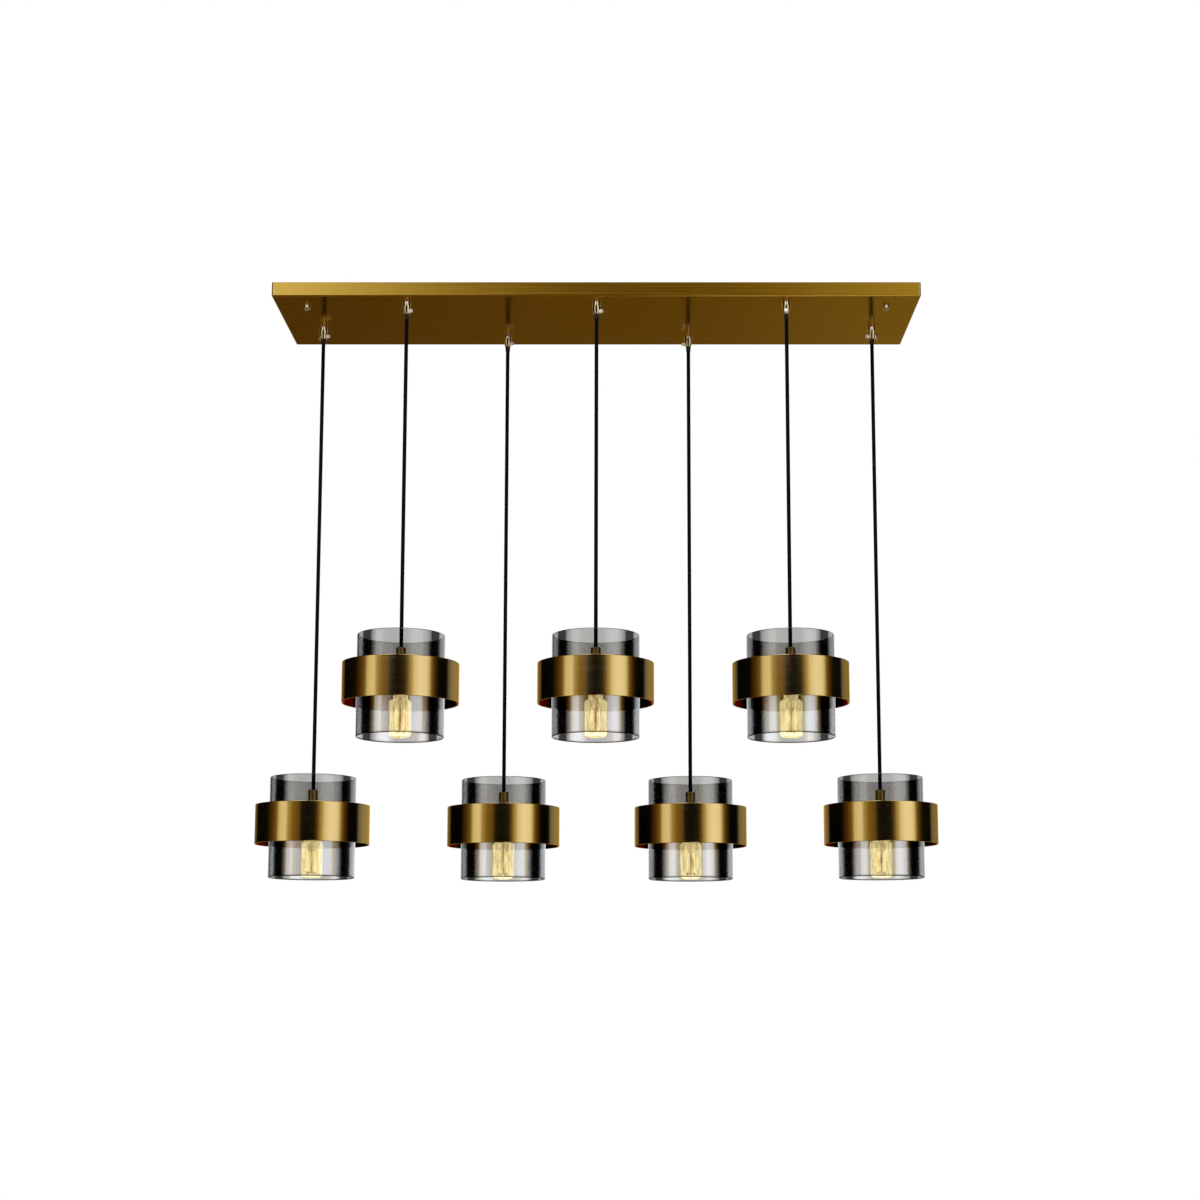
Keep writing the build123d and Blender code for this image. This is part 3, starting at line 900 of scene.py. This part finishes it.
class ScrewInBulbs(bpy.types.Operator):
    """Screw in the tubular bulbs: clear envelope, threaded cap, stem and filaments"""

    bl_idname = "ceiling_light.screw_in_bulbs"
    bl_label = "Bulbs"

    def execute(self, context):
        colours = colours_of(context)
        sizes = sizes_of(context)
        neck_height = 71.0 * MM
        bottom = rise_of("bulb")
        top = bottom + height_of("bulb_1")
        radius = width_of("bulb_1") / 2
        neck_z = bottom + neck_height
        self.add_envelope(sizes, colours, bottom, radius, neck_z)
        self.add_cap(colours, neck_z, top)
        self.add_filaments(sizes, colours, bottom, neck_z)
        return {"FINISHED"}

    def add_envelope(self, sizes, colours, bottom, radius, neck_z):
        """The envelope: a flat rounded base, a straight tube, a round shoulder and a short neck.

        The inside is the outside moved in by the wall, square to the profile.
        """
        base, shoulder, body, shoulder_rise = 7.0 * MM, 6.0 * MM, 60.0 * MM, 4.0 * MM
        wall, neck = sizes.bulb_wall, sizes.bulb_neck
        shoulder_z = bottom + body
        neck_foot = shoulder_z + shoulder_rise
        lean = math.atan2(radius - neck, neck_foot - shoulder_z)
        bend = (radius - shoulder, shoulder_z - shoulder * math.tan(lean / 2))
        outside = np.concatenate([
            [(0, bottom)],
            arc((radius - base, bottom + base), base, -90, 0, 10),
            arc(bend, shoulder, 0, math.degrees(lean), 10),
            [(neck, neck_foot), (neck, neck_z)],
        ])
        toward = np.gradient(outside, axis=0)
        toward /= np.linalg.norm(toward, axis=1, keepdims=True)
        inside = outside + wall * np.stack([-toward[:, 1], toward[:, 0]], axis=1)
        inside[0] = (0, bottom + wall)
        inside[-1] = (neck - wall, neck_z)
        profile = np.concatenate([outside, inside[::-1]])
        mesh = joined_mesh("bulb_envelope", [turned(profile, 72)], sharp_angle=60)
        add_to_pendants("bulb_envelope", mesh, clear_bulb(colours), "lamp", "bulb")

    def add_cap(self, colours, neck_z, top):
        """The cap: a rolled thread whose crest climbs as it turns, then a ring and a contact tip.

        The thread swells the root by a crest that goes as the cosine of height over pitch, less the turn,
        and fades out over one pitch at its two ends.
        """
        crest, pitch, root = 0.55 * MM, 3.6 * MM, 12.5 * MM
        seam, tip = 0.2 * MM, 2.6 * MM
        low, high = neck_z + seam, top - tip
        steps = 72
        heights = np.linspace(low, high, 90)
        turn = np.linspace(0, 2 * np.pi, steps, endpoint=False)
        phase = (heights[:, None] - low) / pitch * 2 * np.pi - turn[None]
        fade = np.clip(np.minimum(heights - low, high - heights) / pitch, 0, 1)[:, None]
        swell = 1 + fade * crest / root * (0.5 + 0.5 * np.cos(phase))
        rows = np.stack([np.full(len(heights), root), heights], axis=1)
        ring = [(9.0 * MM, top - 2.4 * MM), (5.0 * MM, top - 2.2 * MM)]
        contact = [(4.6 * MM, top), (0, top)]
        profile = np.concatenate([[(0, low)], rows, ring, contact])
        flat = np.ones((1, steps))
        swell = np.concatenate([flat, swell, np.repeat(flat, len(ring + contact), axis=0)])
        mesh = joined_mesh("bulb_cap", [turned(profile, steps, swell=swell)])
        add_to_pendants("bulb_cap", mesh, turned_brass(colours), "lamp", "bulb")

    def add_filaments(self, sizes, colours, bottom, neck_z):
        """The stem: a flared glass cone and a rod, with upright filaments between two wire stars."""
        foot_rise, reach, circle = 9.0 * MM, 38.0 * MM, 8.5 * MM
        thick, knot, wire = 0.9 * MM, 1.9 * MM, 0.5 * MM
        foot = bottom + foot_rise
        head = foot + reach
        rod = [(0, 0), (thick, 0), (thick, reach), (0, reach)]
        bead = arc((0, 0), knot, -90, 90, 9)
        spoke = [(0, 0), (wire, 0), (wire, circle), (0, circle)]
        rods, supports = [], []
        for number in range(sizes.filaments):
            degrees = 45 + 360 / sizes.filaments * number
            angle = math.radians(degrees)
            place = Matrix.Translation((circle * math.cos(angle), circle * math.sin(angle), foot))
            rods.append(placed(turned(rod, 16), place))
            supports.append(placed(turned(bead, 16), place))
            for height in (foot, head):
                supports.append(placed(turned(spoke, 10), outward(Vector((0, 0, height)), degrees)))
        stem = [(0, foot - 1.5 * MM), (1.6 * MM, foot - 1.0 * MM), (1.6 * MM, head + 4.0 * MM)]
        flare = [(4.0 * MM, neck_z - 7.0 * MM), (9.5 * MM, neck_z), (0, neck_z)]
        supports.append(turned(stem + flare, 32))
        for name, parts, finish in (("filaments", rods, filament), ("bulb_stem", supports, bulb_stem)):
            mesh = joined_mesh(name, parts)
            add_to_pendants(name, mesh, finish(colours), "lamp", "bulb")


class FitGrips(bpy.types.Operator):
    """Turn the tapered cord grips and screw them into the canopy"""

    bl_idname = "ceiling_light.fit_grips"
    bl_label = "Cord grips"

    def execute(self, context):
        low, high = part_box("cord_grips")
        profile = self.grip(low.z, high.z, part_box("canopy_pan")[0].z)
        grip = turned(profile, 64, close_rows=True)
        places = [Vector((hang_place(pendant).x, hang_place(pendant).y, 0)) for pendant in PENDANTS]
        mesh = joined_mesh("cord_grips", [placed(grip, Matrix.Translation(place)) for place in places])
        material = turned_brass(colours_of(context))
        add_piece("tapered_grips", mesh, material, "canopy", ["cord_grips"])
        return {"FINISHED"}

    def grip(self, low, high, canopy):
        """Profile of a grip: a threaded stub through the canopy, then a taper that swells by half a sine."""
        base, mouth, thread, bore = 7.0 * MM, 5.0 * MM, 5.0 * MM, 3.35 * MM
        swelling, edge = 0.5 * MM, 0.6 * MM
        share = np.linspace(0, 1, 16)[1:]
        radius = base + (mouth - base) * share + swelling * np.sin(share * np.pi)
        height = canopy + (low + edge - canopy) * share
        return np.concatenate([
            [(bore, high), (thread, high), (thread, canopy), (base, canopy)],
            np.stack([radius, height], axis=1),
            arc((mouth - edge, low + edge), edge, 0, -90, 5),
            [(bore, low)],
        ])


class DressCanopy(bpy.types.Operator):
    """Finish the canopy, its fixings and what is inside it"""

    bl_idname = "ceiling_light.dress_canopy"
    bl_label = "Canopy and fixings"

    def execute(self, context):
        colours = colours_of(context)
        finishes = {
            "canopy_pan": brushed_sheet_brass,
            "cap_nuts": turned_brass,
            "grip_set_screws": bright_nickel,
            "ceiling_straps": zinc_plate,
            "strap_studs": zinc_plate,
            "grip_locknuts": zinc_plate,
            "earth_stud": zinc_plate,
            "terminal_screws": zinc_plate,
            "terminal_block": ivory_plastic,
        }
        finishes.update({f"spider_{pendant}": zinc_plate for pendant in PENDANTS})
        for node, finish in finishes.items():
            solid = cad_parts[node]
            # Shiny pieces don't mirror the spiders or the canopy.
            solid.visible_glossy = not node.startswith(("spider", "canopy"))
            material = finish(colours)
            for slot in solid.material_slots:
                slot.material = material
        return {"FINISHED"}


# Stage


class SetStage(bpy.types.Operator):
    """Place the camera, the pale floor, the soft lamp and the studio round the light"""

    bl_idname = "ceiling_light.set_stage"
    bl_label = "Camera, floor and studio"

    def execute(self, context):
        studio = context.scene.studio
        self.add_camera(context, studio)
        self.add_floor(context, studio)
        self.add_lamp(context, studio)
        self.add_world(context, studio)
        context.scene.view_settings.view_transform = "Standard"
        return {"FINISHED"}

    def add_camera(self, context, studio):
        """A camera that faces the light's long side, looks up by the tilt and shifts its picture."""
        lens = bpy.data.cameras.new("camera")
        lens.sensor_width = 36.0
        lens.lens = studio.lens
        lens.shift_x = studio.slide
        lens.shift_y = studio.rise
        camera = bpy.data.objects.new("camera", lens)
        camera.location = studio.eye
        camera.rotation_euler = (math.radians(90) + studio.tilt, 0, 0)
        context.collection.objects.link(camera)
        context.scene.camera = camera

    def add_floor(self, context, studio):
        """A round pale floor, nearly white to the eye and through glass like the studio round it."""
        pale, lift = (0.86, 0.86, 0.86, 1), (0.3, 0.3, 0.3, 1)
        part = turned([(0, -studio.floor_drop), (studio.floor_radius, -studio.floor_drop)], 96)
        floor = bpy.data.objects.new("floor", joined_mesh("floor", [part]))
        context.collection.objects.link(floor)
        made = Finish("pale_floor", Roughness=0.9, Base_Color=pale, Emission_Color=lift)
        rays = made.node("ShaderNodeLightPath")
        seen = made.maths("MAXIMUM", rays.outputs["Is Camera Ray"], rays.outputs["Is Transmission Ray"])
        made.feed(seen, "Emission Strength")
        floor.data.materials.append(made.material)
        floor.visible_glossy = False

    def add_lamp(self, context, studio):
        """One wide soft lamp, up and to the left of the camera, aimed at the middle of the light."""
        width, place, target = 2.5, Vector((-1.6, -2.6, 1.6)), Vector((0, 0, -0.5))
        light = bpy.data.lights.new("soft_lamp", "AREA")
        light.shape = "DISK"
        light.size = width
        light.energy = studio.key
        lamp = bpy.data.objects.new("soft_lamp", light)
        lamp.location = place
        lamp.rotation_euler = (target - place).to_track_quat("-Z", "Y").to_euler()
        lamp.visible_glossy = False
        lamp.visible_transmission = False
        context.collection.objects.link(lamp)

    def add_world(self, context, studio):
        """White to the eye and through glass, an even fill on matt surfaces, softboxes in what shines."""
        world = bpy.data.worlds.new("studio")
        context.scene.world = world
        world.use_nodes = True
        nodes = Nodes(world.node_tree)
        nodes.tree.nodes.clear()
        softboxes = nodes.node("ShaderNodeBackground")
        softboxes.inputs["Strength"].default_value = studio.softbox
        nodes.link(self.room(nodes), softboxes.inputs["Color"])
        fill = nodes.node("ShaderNodeBackground")
        fill.inputs["Color"].default_value = (studio.fill, studio.fill, studio.fill, 1)
        white = nodes.node("ShaderNodeBackground")
        white.inputs["Color"].default_value = (1, 1, 1, 1)
        rays = nodes.node("ShaderNodeLightPath")
        mirrored = nodes.maths("GREATER_THAN", rays.outputs["Glossy Depth"], 0.5)
        unmirrored = nodes.maths("LESS_THAN", rays.outputs["Glossy Depth"], 0.5)
        through = nodes.maths("MULTIPLY", rays.outputs["Is Transmission Ray"], unmirrored)
        seen = nodes.maths("MAXIMUM", rays.outputs["Is Camera Ray"], through)
        lighting = self.either(nodes, mirrored, fill, softboxes)
        whole = self.either(nodes, seen, lighting, white)
        nodes.link(whole.outputs[0], nodes.node("ShaderNodeOutputWorld").inputs["Surface"])

    def either(self, nodes, share, first, second):
        """The first light where the share is 0, and the second where it is 1."""
        made = nodes.node("ShaderNodeMixShader")
        nodes.link(share, made.inputs["Fac"])
        nodes.link(first.outputs[0], made.inputs[1])
        nodes.link(second.outputs[0], made.inputs[2])
        return made

    def room(self, nodes):
        """The studio in what shines: three rings of light, below the horizon, level with it and above.

        A ring's stops are (degrees to the right of the camera's side, level of light). The turn is the
        arctangent of x over -y, as a share of a whole turn, with the camera's side at a half.
        """
        direction = nodes.node("ShaderNodeSeparateXYZ")
        nodes.link(nodes.node("ShaderNodeTexCoord").outputs["Generated"], direction.inputs["Vector"])
        forward = nodes.maths("MULTIPLY", direction.outputs["Y"], -1.0)
        angle = nodes.maths("ARCTAN2", direction.outputs["X"], forward)
        turn = nodes.maths("MULTIPLY_ADD", angle, 1 / (2 * math.pi), 0.5)
        height = direction.outputs["Z"]
        below = self.ring(nodes, turn, [
            (-180, 0.14), (-168, 0.1), (-150, 0.06),
            # Softboxes behind and in front, on the left
            (-138, 0.45), (-122, 0.5), (-110, 0.06),
            (-68, 0.05), (-58, 0.4), (-44, 0.5), (-32, 0.06),
            # A faint strip and a bright one by the camera
            (-20, 0.05), (-13, 0.25), (-8, 0.12),
            (0, 0.12), (4, 0.4), (8, 1.1), (13, 1.1), (17, 0.08),
            # Softboxes in front and behind, on the right
            (32, 0.06), (44, 0.5), (58, 0.4), (68, 0.05),
            (110, 0.06), (122, 0.5), (138, 0.45), (150, 0.08),
            (160, 0.15), (170, 0.24), (180, 0.14),
        ])
        level = self.ring(nodes, turn, [
            # The pale wall behind, then a dark flag on the left
            (-180, 0.9), (-160, 0.7), (-148, 0.26), (-140, 0.2), (-134, 0.0), (-92, 0.0), (-82, 0.05),
            # The left softbox, which fades toward the camera
            (-68, 0.16), (-59, 0.8), (-47, 0.9), (-39, 0.4), (-29, 0.2), (-19, 0.14),
            # A dark flag round the camera
            (-13, 0.0), (14, 0.0), (19, 0.1),
            # The right softbox, the brightest
            (26, 0.42), (35, 0.9), (45, 1.05), (58, 1.0), (64, 0.75), (69, 0.2), (78, 0.05),
            # A dark flag on the right, then the pale wall again
            (86, 0.0), (109, 0.0), (119, 0.22), (140, 0.4), (150, 0.5), (162, 0.8), (180, 0.9),
        ], warm_within=105)
        above = self.ring(nodes, turn, [
            (-180, 0.5), (-150, 0.4), (-125, 0.04), (-62, 0.03), (-46, 0.1),
            # Two softboxes over the camera, with a gap between
            (-36, 1.2), (-11, 1.3), (-7, 0.5), (-4, 0.2),
            (0, 0.1), (4, 0.16), (9, 0.6), (14, 0.7), (20, 1.2), (34, 1.2),
            (44, 0.1), (62, 0.03), (125, 0.04), (150, 0.4), (180, 0.5),
        ])
        lower = nodes.mixed(self.rising(nodes, height, -9, -2), below, level)
        return nodes.mixed(self.rising(nodes, height, 11, 17), lower, above)

    def ring(self, nodes, turn, stops, warm_within=180):
        """Light by turn. Dim light is warmer within some degrees of the camera's side.

        Warm light has its level in red, and powers of it above 1 in green and blue.
        """
        green, blue = 1.26, 2.5
        colours = []
        for angle, light in stops:
            warm = abs(angle) <= warm_within
            colours.append((angle / 360 + 0.5, (light, light**green, light**blue) if warm else light))
        return nodes.ramp(turn, *colours, interpolation="EASE")

    def rising(self, nodes, height, low, high):
        """From 0 below the low angle to 1 above the high one, in degrees above the horizon."""
        made = nodes.node("ShaderNodeMapRange", interpolation_type="SMOOTHSTEP")
        made.inputs["From Min"].default_value = math.sin(math.radians(low))
        made.inputs["From Max"].default_value = math.sin(math.radians(high))
        nodes.link(height, made.inputs["Value"])
        return made.outputs["Result"]


# Panel and registration


PIECES = (HangCords, RollBands, BlowGlass, FitLampholders, ScrewInBulbs, FitGrips, DressCanopy, SetStage)


class CeilingLightPanel(bpy.types.Panel):
    """Lists the pieces of the ceiling light and their settings"""

    bl_idname = "VIEW3D_PT_ceiling_light"
    bl_label = "Ceiling light"
    bl_space_type = "VIEW_3D"
    bl_region_type = "UI"
    bl_category = "Ceiling light"

    def draw(self, context):
        for group in (context.scene.pendant_sizes, context.scene.light_colours, context.scene.studio):
            box = self.layout.box()
            for setting in group.bl_rna.properties.keys()[2:]:
                box.prop(group, setting)
        for piece in PIECES:
            self.layout.operator(piece.bl_idname)


CLASSES = (PendantSizes, Colours, Studio, *PIECES, CeilingLightPanel)


def register():
    """Make the settings, the operators and the panel known."""
    for each in CLASSES:
        bpy.utils.register_class(each)
    bpy.types.Scene.pendant_sizes = PointerProperty(type=PendantSizes)
    bpy.types.Scene.light_colours = PointerProperty(type=Colours)
    bpy.types.Scene.studio = PointerProperty(type=Studio)


def unregister():
    """Take the panel, the operators and the settings away again."""
    del bpy.types.Scene.studio
    del bpy.types.Scene.light_colours
    del bpy.types.Scene.pendant_sizes
    for each in reversed(CLASSES):
        bpy.utils.unregister_class(each)


def main():
    """Build every piece in order."""
    register()
    for piece in PIECES:
        group, name = piece.bl_idname.split(".")
        getattr(getattr(bpy.ops, group), name)()


if __name__ == "__main__":
    main()
